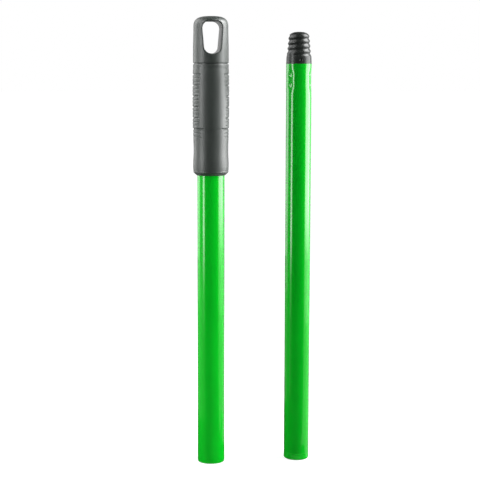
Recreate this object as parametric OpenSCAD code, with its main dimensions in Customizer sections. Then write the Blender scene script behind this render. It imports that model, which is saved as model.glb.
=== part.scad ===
// Roller extension pole in two sections, drawn apart and stood side by side.
// The handle section is a coated steel tube with a moulded grip and a hanging cap.
// The head section slides into its mouth, carries a screw tip for the roller frame
// and ends in a twist lock: an eccentric shoe that wedges inside the handle tube.
// The origin is the centre of the handle's mouth, +Z runs up the handle, -Y is the front.

/* [Tubes] */
// Outside diameter of the handle tube, over its coating
handle_d = 24.6; // [20:0.1:30]
// Thickness of the plastic coating on both tubes
coat_t = 0.3; // [0.15:0.05:0.5]
// Thickness of the steel wall of both tubes
wall_t = 0.4; // [0.25:0.05:0.8]
// Gap all round between the head tube and the bore of the handle tube
slide_gap = 0.1; // [0.05:0.05:0.3]
// Length of the handle tube, from its mouth to the plug of the hanging cap
handle_len = 349.5; // [250:0.5:600]
// Length of the head tube
head_len = 356; // [200:0.5:600]
// Height of the bevel on the coating at the handle's mouth
mouth_bevel_h = 2.6; // [0.5:0.1:4]
// Thickness that the coating loses at that bevel
mouth_bevel = 0.2; // [0.05:0.01:0.25]
// Distance between the axes of the two sections as they stand
section_pitch = 79.5; // [60:0.5:150]

/* [Grip sleeve] */
// Length of the sleeve
sleeve_len = 99.6; // [80:0.1:160]
// Thickness of the lip where the sleeve meets the tube
rim_t = 0.6; // [0.4:0.1:2]
// Thickness of the sleeve at the bead above its lip
bead_t = 3.7; // [2:0.05:6]
// Height of the bead above the lip
bead_z = 9.5; // [6:0.5:14]
// Thickness of the sleeve at its waist
waist_t = 3.25; // [2:0.05:6]
// Height of the waist above the lip
waist_z = 22; // [17:0.5:28]
// Thickness of the sleeve just under its belly
cuff_t = 3.65; // [2:0.05:6]
// Height of the step from cuff to belly above the lip
cuff_z = 40.2; // [34:0.1:46]
// Height of that step itself
cuff_rise = 3; // [1:0.5:8]
// Thickness of the belly at its two ends
belly_end_t = 3.95; // [2:0.05:7]
// Thickness of the belly at its middle
belly_t = 4.1; // [2:0.05:7]
// Length of the shoulder from the belly up to the seam
shoulder_len = 14; // [8:0.5:20]
// Thickness of the grip at the seam between sleeve and cap
seam_t = 3.65; // [2:0.05:6]
// Chamfer on both sides of the seam
seam_edge = 0.45; // [0.2:0.05:1]

/* [Finger grooves] */
// Distance from one groove to the next
groove_pitch = 3.21; // [2:0.01:6]
// Height of the lowest groove above the lip
groove_first_z = 35.1; // [30:0.1:45]
// Depth of the deep grooves, which are every third one
groove_deep = 0.75; // [0.1:0.05:0.8]
// Depth of the grooves between them
groove_shallow = 0.26; // [0.1:0.02:0.6]
// Radius of the round groove section
groove_r = 0.8; // [0.6:0.1:1.5]
// Angle that the end grooves reach to each side of the grip's side line
groove_reach = 46; // [20:1:60]
// Angle by which the middle grooves fall short of that
groove_bow = 9; // [0:1:15]
// Angle that the long groove above the cuff reaches
cuff_groove_reach = 57; // [30:1:75]

/* [Hanging cap] */
// Width of the eye at its top
eye_top_w = 17.6; // [12:0.2:20]
// Width of the eye at its foot
eye_foot_w = 15; // [10:0.2:18]
// Radius of the eye's corners
eye_corner_r = 6.4; // [3:0.1:7]
// Height of the eye
eye_h = 28.6; // [22:0.2:50]
// Material left under the eye
eye_floor = 8.4; // [6:0.1:20]
// Material left above the eye
eye_roof = 4.4; // [3:0.2:10]
// Thickness of the cap outside the tube's radius, level with the foot of the eye
cap_t = 3.65; // [2.5:0.05:6]
// The same where the dome begins
dome_t = 3.25; // [2:0.05:6]
// Height of the dome
dome_h = 10.5; // [8:0.5:20]
// Length of the plug that seats the cap in the sleeve, on the end of the tube
plug_len = 13.6; // [8:0.1:17]
// Wall of that plug
plug_wall = 2.5; // [1.5:0.1:5]
// Material between the plug's hollow and the eye
eye_bridge = 5.3; // [3:0.1:6]

/* [Screw tip] */
// Diameter of the thread at its base
thread_d = 21.9; // [16:0.1:22]
// Loss of diameter along the thread, up to its rounded end
thread_taper = 2.8; // [0:0.1:3]
// Length of the threaded nose
thread_h = 21.5; // [14:0.5:40]
// Rise of the thread in one turn
thread_pitch = 4.5; // [3.4:0.1:6]
// Depth of the thread
thread_depth = 1.15; // [0.6:0.05:1.6]
// Width of the thread's floor
thread_floor = 0.6; // [0.4:0.1:1.2]
// Angle of the thread's flanks
thread_flank = 22; // [10:1:26]
// Length of the rounded end of the nose
nose_h = 6; // [3:0.2:10]
// Height of the plain collar under the thread
collar_h = 6.9; // [4:0.1:12]
// Amount by which the collar's foot is smaller than the tube, in radius
collar_step = 0.05; // [0:0.05:0.3]
// Loss of radius up the collar
collar_taper = 0.3; // [0:0.05:0.6]
// Diameter of the moulding gate's pit in the collar
gate_d = 2.4; // [1:0.2:3]
// Depth of that pit
gate_depth = 0.7; // [0.2:0.1:1.5]
// Wall of the hollow spigot inside the tube
spigot_wall = 3.2; // [2:0.1:5]
// Distance that the spigot reaches past the last stakes
spigot_past = 8.2; // [5:0.2:20]
// Height of the spigot's hollow above the tube's end
tip_core_h = 3.5; // [0:0.5:8]

/* [Stakes] */
// Number of stakes round the head tube
stake_count = 3; // [2:1:4]
// Number of rows of stakes
stake_rows = 2; // [1:1:3]
// Distance from the tube's end to the first row
stake_first = 9.8; // [6:0.2:16]
// Distance between the rows
stake_pitch = 9; // [7:0.2:14]
// Depth of a stake in the tube
stake_depth = 1.1; // [0.3:0.1:1.2]
// Radius of the punch that makes it
stake_r = 10; // [5:0.5:14]
// Turn of the first stake from the front, clockwise seen from below
stake_turn = -53; // [-180:1:180]

/* [Twist lock] */
// Thickness of the shoe above its recess
shoe_web = 2.1; // [2:0.1:6]
// Radius of the shoe's lower edge
shoe_edge = 2; // [0.5:0.1:2.4]
// Distance of the spindle's axis from the tube's axis
lock_offset = 0.4; // [0.2:0.1:1]
// Diameter of the spindle that the shoe turns on
spindle_d = 9; // [8:0.5:11]
// Gap all round between spindle and shoe
spindle_gap = 0.05; // [0.02:0.01:0.1]
// End gap of the shoe, above and below
turn_gap = 0.15; // [0.1:0.05:0.3]
// Turn of the shoe each way, from its middle to its stop
lock_turn = 90; // [30:5:110]
// Diameter of the stop peg under the flange
peg_d = 1.6; // [1.2:0.1:2]
// Distance of the peg from the spindle's axis
peg_reach = 8; // [7.4:0.1:8.4]
// Length of the peg
peg_len = 1.2; // [0.6:0.1:1.6]
// Gap round the peg in its slot
peg_gap = 0.2; // [0.1:0.05:0.4]
// Width of the slit that lets the shoe spring
slit_w = 1.2; // [0.6:0.1:2]
// Thickness of the plug's flange under the tube
flange_t = 1.5; // [1:0.1:3]
// Length of the plug pressed into the tube
lock_len = 26; // [18:0.5:60]
// Wall of the plug above its solid foot
lock_wall = 3.2; // [2:0.1:5]
// Height of that solid foot
lock_foot = 14; // [12:0.5:16]
// Diameter of the washer that keeps the shoe on
washer_d = 12.4; // [12:0.2:13]
// Thickness of the washer
washer_t = 0.8; // [0.5:0.1:1.2]
// Gap all round between the washer and its recess
washer_gap = 0.5; // [0.3:0.1:1]
// Diameter of the screw
screw_d = 3.5; // [3:0.5:4]
// Length of the screw under its head
screw_len = 12; // [8:0.5:13]
// Diameter of the screw's head
screw_head_d = 7; // [6:0.2:8]
// Height of the screw's head
screw_head_h = 1.5; // [1:0.1:1.8]
// Height of the head above the floor that the shoe stands on
screw_lift = 0.45; // [0.2:0.05:2]
// Length of each arm pair of the cross recess in the head
cross_len = 3.6; // [2:0.2:4.5]
// Width of the cross recess
cross_w = 0.9; // [0.6:0.1:1.2]
// Depth of the cross recess
cross_depth = 0.8; // [0.4:0.1:1]

/* [Hidden] */

$fn = 96;
steel = "#b9bcc0";
green = "#08a824";
grip_grey = "#4b4d4c";
tip_black = "#2a2c2b";
over = 1;

// Radii of the nested tubes, from the outside in
handle_r = handle_d / 2;
handle_steel_r = handle_r - coat_t;
handle_bore_r = handle_steel_r - wall_t;
head_r = handle_bore_r - slide_gap;
head_steel_r = head_r - coat_t;
head_bore_r = head_steel_r - wall_t;

// Heights of the handle section
seam_z = handle_len + plug_len;
sleeve_z = seam_z - sleeve_len;
cap_h = eye_floor + eye_h + eye_roof;

// Heights of the head section, from the floor up
washer_z = screw_lift + screw_head_h;
spindle_z = washer_z + washer_t;
shoe_web_z = spindle_z + turn_gap;
shoe_h = shoe_web_z + shoe_web;
flange_z = shoe_h + turn_gap;
head_z = flange_z + flange_t;
head_top_z = head_z + head_len;

// Shape of the grip: stations of height and radius, joined by smooth steps
span_steps = 5;
arc_steps = 8;
sleeve_stations = [
    [bead_z, handle_r + bead_t],
    [waist_z, handle_r + waist_t],
    [cuff_z, handle_r + cuff_t],
    [cuff_z + cuff_rise, handle_r + belly_end_t],
    [(cuff_z + cuff_rise + sleeve_len - shoulder_len) / 2, handle_r + belly_t],
    [sleeve_len - shoulder_len, handle_r + belly_end_t],
    [sleeve_len - seam_edge, handle_r + seam_t]];
cap_stations = [
    [seam_edge, handle_r + seam_t],
    [eye_floor, handle_r + cap_t],
    [cap_h - dome_h, handle_r + dome_t]];
// Powers of the curves of the cap's dome and the tip's nose: 2 is an ellipse, more is squarer
nose_power = 2.5;
dome_power = 3.1;
// Chamfer that leads the cap's plug into the sleeve
plug_lead = 0.2;

// Side grooves: the deep ones are every third, counted from the one above the cuff
groove_group = 3;
cuff_groove = 2;
groove_sides = 24;
groove_count = floor((sleeve_len - shoulder_len / 2 - groove_first_z) / groove_pitch) + 1;

// Eye: an opening that narrows towards its foot, with its four corners rounded
eye_flat = 0.4;
eye_r = min(eye_corner_r, eye_foot_w / 2 - eye_flat);
eye_top_x = eye_top_w / 2 - eye_r;
eye_foot_x = eye_foot_w / 2 - eye_r;
eye_top_z = eye_floor + eye_h - eye_r;
eye_foot_z = eye_floor + eye_r;
eye_lean = atan((eye_top_x - eye_foot_x) / (eye_top_z - eye_foot_z));
eye_steps = 12;
eye_depth = 2 * (handle_r + cap_t + over);

// Screw tip, measured from the end of the head tube
thread_base_r = thread_d / 2;
thread_end_r = thread_base_r - thread_taper / 2;
tip_h = collar_h + thread_h;
stake_span = stake_first + (stake_rows - 1) * stake_pitch;
spigot_len = stake_span + spigot_past;
spigot_lead = 1.5;
tip_core_r = head_bore_r - spigot_wall;
collar_foot_r = head_r - collar_step;
collar_top_r = collar_foot_r - collar_taper;

// Thread groove: a swept section that starts outside the surface and runs in
thread_sides = 24;
thread_start = -190;
thread_start_lift = 0.1;
thread_start_z = collar_h + thread_start_lift;
thread_run_in = 0.4;
thread_run_out = 0.5;
thread_proud = 1.2;
thread_turns = (tip_h - thread_start_z) / thread_pitch + thread_run_out;

// Twist lock, measured from the floor
spindle_r = spindle_d / 2;
shoe_bore_r = spindle_r + spindle_gap;
screw_r = screw_d / 2;
washer_r = washer_d / 2;
washer_hole_gap = 0.1;
washer_hole_r = screw_r + washer_hole_gap;
screw_head_edge = 0.5;
peg_r = peg_d / 2;
peg_slot_r = peg_r + peg_gap;
peg_slot_turn = lock_turn + asin(peg_gap / peg_reach);

// Smooth step from 0 to 1
function smooth(t) = t * t * (3 - 2 * t);

// Radius at height z on a list of stations
function station_radius(s, z, i = 0) =
    i == len(s) - 2 || z <= s[i + 1][0]
    ? let (t = (z - s[i][0]) / (s[i + 1][0] - s[i][0])) s[i][1] + (s[i + 1][1] - s[i][1]) * smooth(t)
    : station_radius(s, z, i + 1);

// Outline points over a list of stations, as radius and height
function station_points(s) = concat(
    [[s[0][1], s[0][0]]],
    [for (i = [0 : len(s) - 2], k = [1 : span_steps])
        let (z = s[i][0] + (s[i + 1][0] - s[i][0]) * k / span_steps) [station_radius(s, z, i), z]]);

// Quarter of a rounded end: from radius r at height z to the axis, h higher
function dome_points(r, z, h, power) =
    [for (k = [1 : arc_steps]) let (a = 90 * k / arc_steps)
        k == arc_steps ? [0, z + h] : [r * pow(cos(a), 2 / power), z + h * pow(sin(a), 2 / power)]];

function arc_points(r, x, y, from, to, steps) =
    [for (k = [0 : steps]) let (a = from + (to - from) * k / steps) [x + r * cos(a), y + r * sin(a)]];

// Radius of the tapered thread's crest at a height above the tube's end
function thread_radius(z) = thread_base_r - thread_taper / 2 * (z - collar_h) / (thread_h - nose_h);

// Four corners of the thread groove's section at one step along the helix
function groove_ring(k) =
    let (
        turns = k / thread_sides,
        angle = thread_start + 360 * turns,
        z = thread_start_z + thread_pitch * turns,
        crest = thread_radius(z),
        run_in = min(1, turns / thread_run_in),
        root = crest - thread_depth + (thread_depth + thread_proud / 2) * (1 - run_in),
        rim = crest + thread_proud,
        half_floor = thread_floor / 2,
        half_mouth = half_floor + (thread_depth + thread_proud) * tan(thread_flank))
    [for (p = [[rim, -half_mouth], [root, -half_floor], [root, half_floor], [rim, half_mouth]])
        [p[0] * cos(angle), p[0] * sin(angle), z + p[1]]];

module tube(r_out, r_in, h) {
    difference() {
        cylinder(r = r_out, h = h);
        translate([0, 0, -over]) cylinder(r = r_in, h = h + 2 * over);
    }
}

// Moves a piece from the head tube's own axis to its place beside the handle
module on_head() {
    translate([section_pitch, 0, 0]) children();
}

// Balls of the punch, grown by the layers that it has pressed ahead of it
module stake_balls(grow) {
    ball_reach = head_r - stake_depth + stake_r;
    for (i = [0 : stake_count - 1], row = [0 : stake_rows - 1])
        rotate([0, 0, stake_turn - 90 + 360 * i / stake_count])
            translate([ball_reach, 0, head_top_z - stake_first - row * stake_pitch])
                sphere(r = stake_r + grow);
}

// Solid rod the length of the head tube with the stakes pressed into it
module staked_rod(r, z, h, grow) {
    difference() {
        translate([0, 0, z]) cylinder(r = r, h = h);
        stake_balls(grow);
    }
}

module handle_tube() {
    color(steel) tube(handle_steel_r, handle_bore_r, handle_len);
}

module handle_coating() {
    outline = [
        [handle_steel_r, 0], [handle_r - mouth_bevel, 0], [handle_r, mouth_bevel_h],
        [handle_r, handle_len], [handle_steel_r, handle_len]];
    color(green) rotate_extrude() polygon(outline);
}

module side_grooves() {
    last = groove_count - 1;
    for (k = [0 : last]) {
        z = groove_first_z + k * groove_pitch;
        along = 2 * k / last - 1;
        is_deep = k % groove_group == cuff_groove;
        reach = k == cuff_groove ? cuff_groove_reach : groove_reach - groove_bow * (1 - along * along);
        depth = is_deep ? groove_deep : groove_shallow;
        for (side = [0, 180])
            rotate([0, 0, side - reach])
                rotate_extrude(angle = 2 * reach)
                    translate([station_radius(sleeve_stations, z) + groove_r - depth, z])
                        circle(r = groove_r, $fn = groove_sides);
    }
}

module grip_sleeve() {
    lip = [for (k = [0 : arc_steps - 1]) let (a = 90 * k / arc_steps)
        [handle_r + rim_t + (bead_t - rim_t) * sin(a), bead_z * (1 - cos(a))]];
    outline = concat(
        [[handle_r, 0]], lip, station_points(sleeve_stations),
        [[handle_r + seam_t - seam_edge, sleeve_len], [handle_r, sleeve_len]]);
    color(grip_grey)
        translate([0, 0, sleeve_z])
            difference() {
                rotate_extrude() polygon(outline);
                side_grooves();
            }
}

module eye() {
    outline = concat(
        arc_points(eye_r, eye_top_x, eye_top_z, -eye_lean, 90, eye_steps),
        arc_points(eye_r, -eye_top_x, eye_top_z, 90, 180 + eye_lean, eye_steps),
        arc_points(eye_r, -eye_foot_x, eye_foot_z, 180 + eye_lean, 270, eye_steps),
        arc_points(eye_r, eye_foot_x, eye_foot_z, 270, 360 - eye_lean, eye_steps));
    rotate([90, 0, 0])
        linear_extrude(height = eye_depth, center = true) polygon(outline);
}

module hanging_cap() {
    plug_core_r = handle_r - plug_wall;
    plug_core_top = eye_floor - eye_bridge;
    outline = concat(
        [[plug_core_r, -plug_len], [handle_r - plug_lead, -plug_len],
         [handle_r, -plug_len + plug_lead], [handle_r, 0],
         [handle_r + seam_t - seam_edge, 0]],
        station_points(cap_stations),
        dome_points(handle_r + dome_t, cap_h - dome_h, dome_h, dome_power),
        [[0, plug_core_top], [plug_core_r, plug_core_top]]);
    color(grip_grey)
        translate([0, 0, seam_z])
            difference() {
                rotate_extrude() polygon(outline);
                eye();
            }
}

module head_tube() {
    color(steel)
        on_head()
            difference() {
                staked_rod(head_steel_r, head_z, head_len, coat_t);
                staked_rod(head_bore_r, head_z - over, head_len + 2 * over, coat_t + wall_t);
            }
}

module head_coating() {
    color(green)
        on_head()
            difference() {
                staked_rod(head_r, head_z, head_len, 0);
                staked_rod(head_steel_r, head_z - over, head_len + 2 * over, coat_t);
            }
}

// Helical groove between the threads, as one closed sweep
module thread_groove() {
    last = ceil(thread_turns * thread_sides);
    corners = len(groove_ring(0));
    points = [for (k = [0 : last]) each groove_ring(k)];
    walls = [for (k = [0 : last - 1], c = [0 : corners - 1])
        let (a = corners * k + c, b = corners * k + (c + 1) % corners)
        each [[a, b + corners, b], [a, a + corners, b + corners]]];
    foot = [[0, 1, 2], [0, 2, 3]];
    head = [for (f = foot) [for (i = [2, 1, 0]) f[i] + corners * last]];
    polyhedron(points, concat(walls, foot, head), convexity = 10);
}

module threaded_tip() {
    outline = concat(
        [[tip_core_r, -spigot_len], [head_bore_r - spigot_lead / 2, -spigot_len],
         [head_bore_r, -spigot_len + spigot_lead], [head_bore_r, 0],
         [collar_foot_r, 0], [collar_top_r, collar_h], [thread_base_r, collar_h],
         [thread_end_r, tip_h - nose_h]],
        dome_points(thread_end_r, tip_h - nose_h, nose_h, nose_power),
        [[0, tip_core_h], [tip_core_r, tip_core_h]]);
    color(tip_black)
        on_head()
            difference() {
                translate([0, 0, head_top_z])
                    difference() {
                        rotate_extrude() polygon(outline);
                        thread_groove();
                        translate([0, -collar_top_r + gate_depth, collar_h / 2])
                            rotate([90, 0, 0]) cylinder(d = gate_d, h = gate_depth + over);
                    }
                stake_balls(coat_t + wall_t);
            }
}

module lock_plug() {
    color(green)
        on_head()
            difference() {
                union() {
                    translate([0, 0, flange_z]) cylinder(r = head_r, h = flange_t);
                    translate([0, 0, flange_z]) cylinder(r = head_bore_r, h = flange_t + lock_len);
                    translate([0, lock_offset, spindle_z])
                        cylinder(r = spindle_r, h = flange_z - spindle_z + flange_t / 2);
                    translate([0, lock_offset - peg_reach, flange_z - peg_len])
                        cylinder(r = peg_r, h = peg_len + flange_t / 2);
                }
                translate([0, 0, flange_z + lock_foot])
                    cylinder(r = head_bore_r - lock_wall, h = flange_t + lock_len);
                translate([0, lock_offset, spindle_z - over])
                    cylinder(r = screw_r, h = screw_len - washer_t + over);
            }
}

// Round-ended slot that the stop peg runs in, open at the top of the shoe
module peg_slot() {
    depth = peg_len + peg_gap;
    translate([0, lock_offset, flange_z - depth]) {
        rotate([0, 0, -90 - peg_slot_turn])
            rotate_extrude(angle = 2 * peg_slot_turn)
                translate([peg_reach - peg_slot_r, 0]) square([2 * peg_slot_r, depth]);
        for (turn = [-peg_slot_turn, peg_slot_turn])
            rotate([0, 0, turn]) translate([0, -peg_reach, 0]) cylinder(r = peg_slot_r, h = depth);
    }
}

module lock_shoe() {
    outline = concat(
        [[0, 0]], arc_points(shoe_edge, head_r - shoe_edge, shoe_edge, -90, 0, arc_steps),
        [[head_r, shoe_h], [0, shoe_h]]);
    color(green)
        on_head()
            difference() {
                rotate_extrude() polygon(outline);
                translate([0, lock_offset, -over]) {
                    cylinder(r = shoe_bore_r, h = shoe_h + 2 * over);
                    cylinder(r = washer_r + washer_gap, h = shoe_web_z + over);
                }
                translate([-slit_w / 2, lock_offset, -over]) cube([slit_w, 2 * head_r, shoe_h + 2 * over]);
                peg_slot();
            }
}

module lock_washer() {
    color(steel)
        on_head()
            translate([0, lock_offset, washer_z]) tube(washer_r, washer_hole_r, washer_t);
}

module lock_screw() {
    color(steel)
        on_head()
            translate([0, lock_offset, screw_lift])
                difference() {
                    union() {
                        cylinder(d1 = screw_head_d - 2 * screw_head_edge, d2 = screw_head_d, h = screw_head_edge);
                        translate([0, 0, screw_head_edge])
                            cylinder(d = screw_head_d, h = screw_head_h - screw_head_edge);
                        translate([0, 0, screw_head_h - screw_head_edge])
                            cylinder(r = screw_r, h = screw_len + screw_head_edge);
                    }
                    for (turn = [0, 90])
                        rotate([0, 0, turn])
                            translate([-cross_len / 2, -cross_w / 2, -over])
                                cube([cross_len, cross_w, cross_depth + over]);
                }
}

handle_tube();
handle_coating();
grip_sleeve();
hanging_cap();
head_tube();
head_coating();
threaded_tip();
lock_plug();
lock_shoe();
lock_washer();
lock_screw();
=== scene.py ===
"""Looks of a roller extension pole in two sections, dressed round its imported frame.

The handle section is a coated steel tube with a moulded grip and a hanging eye. The head
section is a slimmer coated tube with a screw tip and a twist lock. Lengths are metres in
the part's own frame: +Z runs up the tubes, -Y is the front, and the origin is the centre
of the handle's mouth. Sizes of the pieces are given in millimetres and scaled by MM.
"""

import logging
import math
from dataclasses import dataclass
from enum import Enum
from typing import Any, Sequence

import bmesh
import bpy
import numpy as np
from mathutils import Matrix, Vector


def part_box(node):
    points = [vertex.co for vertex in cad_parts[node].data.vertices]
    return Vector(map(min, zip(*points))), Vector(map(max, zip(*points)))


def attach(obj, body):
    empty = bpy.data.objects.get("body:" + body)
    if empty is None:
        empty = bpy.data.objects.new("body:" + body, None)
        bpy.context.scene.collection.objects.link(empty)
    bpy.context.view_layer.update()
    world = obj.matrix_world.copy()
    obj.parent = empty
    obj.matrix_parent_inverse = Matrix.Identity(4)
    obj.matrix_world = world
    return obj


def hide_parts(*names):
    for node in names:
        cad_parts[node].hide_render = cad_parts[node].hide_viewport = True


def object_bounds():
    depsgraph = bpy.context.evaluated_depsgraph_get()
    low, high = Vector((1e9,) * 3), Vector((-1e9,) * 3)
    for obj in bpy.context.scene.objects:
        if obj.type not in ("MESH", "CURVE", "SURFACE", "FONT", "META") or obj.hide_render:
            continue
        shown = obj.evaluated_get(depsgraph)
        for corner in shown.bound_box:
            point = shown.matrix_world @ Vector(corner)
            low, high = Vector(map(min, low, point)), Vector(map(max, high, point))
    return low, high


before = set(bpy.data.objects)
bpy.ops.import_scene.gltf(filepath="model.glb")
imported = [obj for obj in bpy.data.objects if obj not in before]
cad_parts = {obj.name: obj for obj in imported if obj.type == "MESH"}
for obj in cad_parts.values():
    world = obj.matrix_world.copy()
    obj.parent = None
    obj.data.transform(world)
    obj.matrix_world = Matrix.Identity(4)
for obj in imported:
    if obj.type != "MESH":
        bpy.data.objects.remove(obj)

CAD_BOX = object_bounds()
MM = 0.001
LOG = logging.getLogger("pole")

WHITE = (1, 1, 1, 1)
BLACK = (0, 0, 0, 1)

Array = np.ndarray
Numbers = Sequence[float]
Node = bpy.types.Node
Socket = bpy.types.NodeSocket


class Body(Enum):
    """Bodies of the frame that new pieces ride on."""

    HANDLE = "handle"
    HEAD = "head"


class Slot(Enum):
    """Material slots of the record."""

    TUBE_STEEL = "tube_steel"
    GREEN_COATING = "green_coating"
    GRIP_PLASTIC = "grip_plastic"
    TIP_PLASTIC = "tip_plastic"
    LOCK_PLASTIC = "lock_plastic"
    ZINC_STEEL = "zinc_steel"


class Sector(Enum):
    """Parts of the studio about the object, as bearings in degrees from the front to the right."""

    FRONT = (-61, 56)
    RIGHT = (56, 150)
    BACK = (150, 299)


def linear(hex_colour: str) -> tuple[float, float, float, float]:
    """Turn an sRGB hex colour into a linear one.

    Args:
        hex_colour: six hex digits after a hash sign.

    Returns:
        Red, green, blue and alpha, each from 0 to 1.
    """
    coded = [int(hex_colour[i:i + 2], 16) / 255 for i in (1, 3, 5)]
    red, green, blue = (c / 12.92 if c <= 0.04045 else ((c + 0.055) / 1.055) ** 2.4 for c in coded)
    return red, green, blue, 1.0


def smooth(t: Array) -> Array:
    """Smooth step: 3t^2 - 2t^3 with t held between 0 and 1."""
    t = np.clip(t, 0.0, 1.0)
    return t * t * (3 - 2 * t)


def soft_min(a: Array, b: Array, blend: float) -> Array:
    """Smaller of two surfaces, with the corner between them rounded over a blend width.

    Args:
        a: first surface.
        b: second surface.
        blend: difference of the two over which the corner is rounded.

    Returns:
        b + (a - b)h - blend h(1 - h), where h runs from 0 to 1 across the corner.
    """
    h = np.clip(0.5 + 0.5 * (b - a) / blend, 0.0, 1.0)
    return b + (a - b) * h - blend * h * (1 - h)


def turn(columns: int) -> Array:
    """Angles of one full turn, without the repeated last one."""
    return np.linspace(0, 2 * math.pi, columns, endpoint=False)


def quarter(rows: int) -> Array:
    """Angles of a quarter turn, with both its ends."""
    return np.linspace(0, math.pi / 2, rows)


def spun(radius: Array, height: Array, angle: Array, axis_x: float) -> Array:
    """Grid of points (axis + r cos a, r sin a, z) for rows of a profile turned about an upright axis.

    Args:
        radius: radius of each row, or of each row and column.
        height: height of each row, or of each row and column.
        angle: angle of each column.
        axis_x: place of the axis on X.

    Returns:
        Points as rows, columns and coordinates.
    """
    shape = (len(height), len(angle))
    r = np.broadcast_to(radius if radius.ndim == 2 else radius[:, None], shape)
    z = np.broadcast_to(height if height.ndim == 2 else height[:, None], shape)
    return np.stack([axis_x + r * np.cos(angle), r * np.sin(angle), z], axis=-1)


class Shell:
    """Closed surface gathered from grids of points that share their edges."""

    # points this close are one, and corners sharper than this stay sharp
    MERGE = 0.5e-6
    SHARP = math.radians(38)

    def __init__(self) -> None:
        """Start with no points and no faces."""
        self.points: list[Array] = []
        self.faces: list[Array] = []
        self.count = 0

    def add(self, grid: Array, wrap_rows: bool = False, wrap_columns: bool = True) -> "Shell":
        """Add a grid of points with a four-sided face between each four neighbours.

        Args:
            grid: points as rows, columns and coordinates.
            wrap_rows: the last row joins the first.
            wrap_columns: the last column joins the first.

        Returns:
            The shell itself.
        """
        rows, columns = grid.shape[:2]
        index = self.count + np.arange(rows * columns).reshape(rows, columns)
        if wrap_rows:
            index = np.vstack([index, index[:1]])
        if wrap_columns:
            index = np.hstack([index, index[:, :1]])
        corners = [index[:-1, :-1], index[:-1, 1:], index[1:, 1:], index[1:, :-1]]
        self.faces.append(np.stack(corners, axis=-1).reshape(-1, 4))
        self.points.append(grid.reshape(-1, 3))
        self.count += rows * columns
        return self

    def mesh(self, name: str) -> bpy.types.Mesh:
        """Join the grids into one mesh with its faces outwards.

        Args:
            name: name of the mesh.

        Returns:
            The mesh, with shared points merged and only its true corners shaded sharp.
        """
        points = np.concatenate(self.points).astype(np.float32)
        faces = np.concatenate(self.faces).astype(np.int32)
        mesh = bpy.data.meshes.new(name)
        mesh.vertices.add(len(points))
        mesh.vertices.foreach_set("co", points.ravel())
        mesh.loops.add(faces.size)
        mesh.loops.foreach_set("vertex_index", faces.ravel())
        mesh.polygons.add(len(faces))
        mesh.polygons.foreach_set("loop_start", np.arange(0, faces.size, 4, dtype=np.int32))
        mesh.update(calc_edges=True)
        work = bmesh.new()
        work.from_mesh(mesh)
        bmesh.ops.remove_doubles(work, verts=work.verts, dist=self.MERGE)
        bmesh.ops.recalc_face_normals(work, faces=work.faces)
        work.to_mesh(mesh)
        work.free()
        mesh.polygons.foreach_set("use_smooth", np.ones(len(mesh.polygons), bool))
        mesh.set_sharp_from_angle(angle=self.SHARP)
        mesh.update()
        return mesh


@dataclass(frozen=True)
class Nodes:
    """Node tree of a material, of a lamp or of the surround, while it is being filled."""

    tree: bpy.types.NodeTree

    def add(self, kind: str, inputs: dict[Any, Any], **settings: Any) -> Node:
        """Add a shader node with its settings and inputs.

        Args:
            kind: Blender's name of the node type, after ShaderNode.
            inputs: value of each input by name or number, or the output socket to link to it.
            **settings: properties of the node itself.

        Returns:
            The new node.
        """
        node = self.tree.nodes.new("ShaderNode" + kind)
        for key, value in settings.items():
            setattr(node, key, value)
        self.feed(node, inputs)
        return node

    def feed(self, node: Node, inputs: dict[Any, Any]) -> None:
        """Set or link inputs of a node.

        Args:
            node: node of this tree.
            inputs: value of each input by name or number, or the output socket to link to it.
        """
        for key, value in inputs.items():
            if isinstance(value, Socket):
                self.tree.links.new(value, node.inputs[key])
            else:
                node.inputs[key].default_value = value

    def place(self) -> Socket:
        """Coordinates on the piece in metres."""
        return self.add("TexCoord", {}).outputs["Object"]

    def maths(self, operation: str, *values: Any) -> Socket:
        """Result of an operation on one or two numbers or sockets."""
        return self.add("Math", dict(enumerate(values)), operation=operation).outputs[0]

    def spread(self, value: Socket, start: Numbers, end: Numbers, **settings: Any) -> Socket:
        """Map a value from the range start to the range end and hold it there, with the node's settings."""
        return self.add("MapRange", dict(enumerate((value, *start, *end))), **settings).outputs[0]

    def clouds(self, size_mm: float, detail: float = 2.0, stretch: float = 1.0) -> Socket:
        """Add a cloud pattern of a real size.

        Args:
            size_mm: width of one cloud in millimetres.
            detail: octaves of finer clouds on it.
            stretch: how many times longer a cloud is along Z than across.

        Returns:
            The pattern's value, from 0 to 1.
        """
        scale = 1 / (size_mm * MM)
        sized = self.add("Mapping", {"Vector": self.place(), "Scale": (scale, scale, scale / stretch)})
        pattern = {"Vector": sized.outputs[0], "Scale": 1.0, "Detail": detail}
        return self.add("TexNoise", pattern).outputs[0]

    def bump(self, height: Socket, depth_mm: float, under: Socket | None = None) -> Socket:
        """Turn a pattern into a bump of a real depth.

        Args:
            height: pattern from 0 to 1.
            depth_mm: depth in millimetres from its lowest to its highest.
            under: normal of a coarser bump that this one lies on.

        Returns:
            The bumped normal.
        """
        inputs = {"Height": height, "Distance": depth_mm * MM}
        if under:
            inputs["Normal"] = under
        return self.add("Bump", inputs).outputs[0]


def put(name: str, data: bpy.types.ID) -> bpy.types.Object:
    """Put a mesh, a lamp or a camera in the scene as an object at the origin.

    Args:
        name: name of the object.
        data: what the object shows.

    Returns:
        The object.
    """
    made = bpy.data.objects.new(name, data)
    bpy.context.scene.collection.objects.link(made)
    return made


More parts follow.
